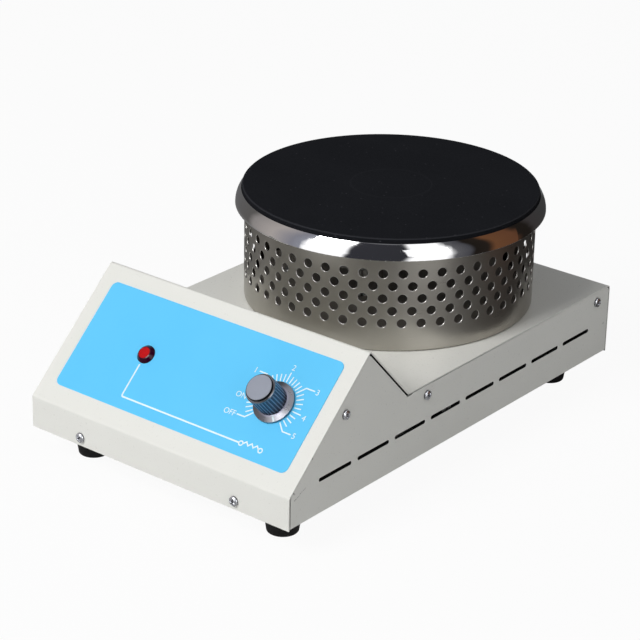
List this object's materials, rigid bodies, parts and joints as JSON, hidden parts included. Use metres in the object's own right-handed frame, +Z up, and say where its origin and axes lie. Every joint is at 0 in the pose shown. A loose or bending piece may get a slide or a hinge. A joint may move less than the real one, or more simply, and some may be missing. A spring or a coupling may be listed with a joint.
{
  "type": "laboratory hot plate",
  "caption": "Laboratory hot plate with a round cast heating plate on a perforated steel drum, a sloping control panel, an indicator lamp and a turning heat control knob.",
  "frame": {"origin": "middle between the four feet, on the bench", "axes": "+X to the right seen from the control panel, +Y from the panel to the rear, +Z up"},
  "size_m": [0.198, 0.3162, 0.1345],
  "materials": {
    "housing_paint": "semi-gloss off-white powder coat",
    "overlay_blue": "printed light blue film",
    "bright_screw": "bright plated pan heads",
    "plated_steel": "zinc plated",
    "foot_rubber": "black moulded rubber",
    "drum_steel": "satin stainless sheet",
    "ring_chrome": "polished",
    "plate_iron": "fine-grained black cast surface",
    "ceramic": "off-white ceramic",
    "element_steel": "heat-tinted steel",
    "pan_aluminium": "bright mill finish",
    "black_moulding": "black moulding",
    "brass_plain": "plain",
    "lens_red": "dark red translucent lens",
    "brown_laminate": "brown laminate",
    "knob_metal": "bright metallised, fluted",
    "knob_disc_aluminium": "fine turned disc",
    "board_green": "green laminate",
    "black_aluminium": "black anodised",
    "yellow_moulding": "yellow moulding",
    "choke_copper": "lacquered copper winding",
    "wire_green": "green insulation",
    "wire_brown": "brown insulation",
    "sleeve_white": "woven glass sleeve",
    "wire_grey": "grey insulation"
  },
  "bodies": {
    "base": {"base_tray": "housing_paint", "top_cover": "housing_paint", "cover_brackets": "plated_steel", "panel_overlay": "overlay_blue", "cover_screws": "bright_screw", "foot_front_left": "foot_rubber", "foot_front_right": "foot_rubber", "foot_rear_left": "foot_rubber", "foot_rear_right": "foot_rubber", "foot_screws": "plated_steel", "foot_nuts": "plated_steel", "drum_guard": "drum_steel", "drum_screws": "plated_steel", "deck_nuts": "plated_steel", "trim_ring": "ring_chrome", "cast_plate": "plate_iron", "groove_filling": "ceramic", "heating_coils": "element_steel", "element_pan": "pan_aluminium", "pin_beads": "ceramic", "element_links": "element_steel", "centre_stud": "plated_steel", "stud_nuts": "plated_steel", "stud_washers": "plated_steel", "clamp_bar": "plated_steel", "heat_reflector": "pan_aluminium", "reflector_spacers": "plated_steel", "reflector_screws": "plated_steel", "inlet_body": "black_moulding", "inlet_pins": "brass_plain", "inlet_screws": "plated_steel", "inlet_nuts": "plated_steel", "lamp_lens": "lens_red", "lamp_body": "black_moulding", "lamp_nut": "plated_steel", "pot_case": "pan_aluminium", "pot_cover": "brown_laminate", "pot_tags": "plated_steel", "pot_nut": "plated_steel", "pot_washer": "plated_steel", "control_board": "board_green", "board_standoffs": "plated_steel", "board_screws": "plated_steel", "heat_sink": "black_aluminium", "triac": "black_moulding", "filter_capacitor": "yellow_moulding", "choke": "choke_copper", "earth_stud": "plated_steel", "earth_nut": "plated_steel", "earth_wire": "wire_green", "mains_wires": "wire_brown", "element_leads": "sleeve_white", "signal_wires": "wire_grey"},
    "knob": {"knob_body": "knob_metal", "knob_insert": "brass_plain", "knob_cap": "black_moulding", "knob_disc": "knob_disc_aluminium", "pot_shaft": "brass_plain", "pot_wiper": "brass_plain"}
  },
  "joints": [
    {"name": "knob_turn", "type": "hinge", "parent": "base", "child": "knob", "pos_m": [0.0578, -0.12182, 0.06971], "axis": [0, -0.6825, 0.7308], "range_deg": [0, 300]}
  ]
}
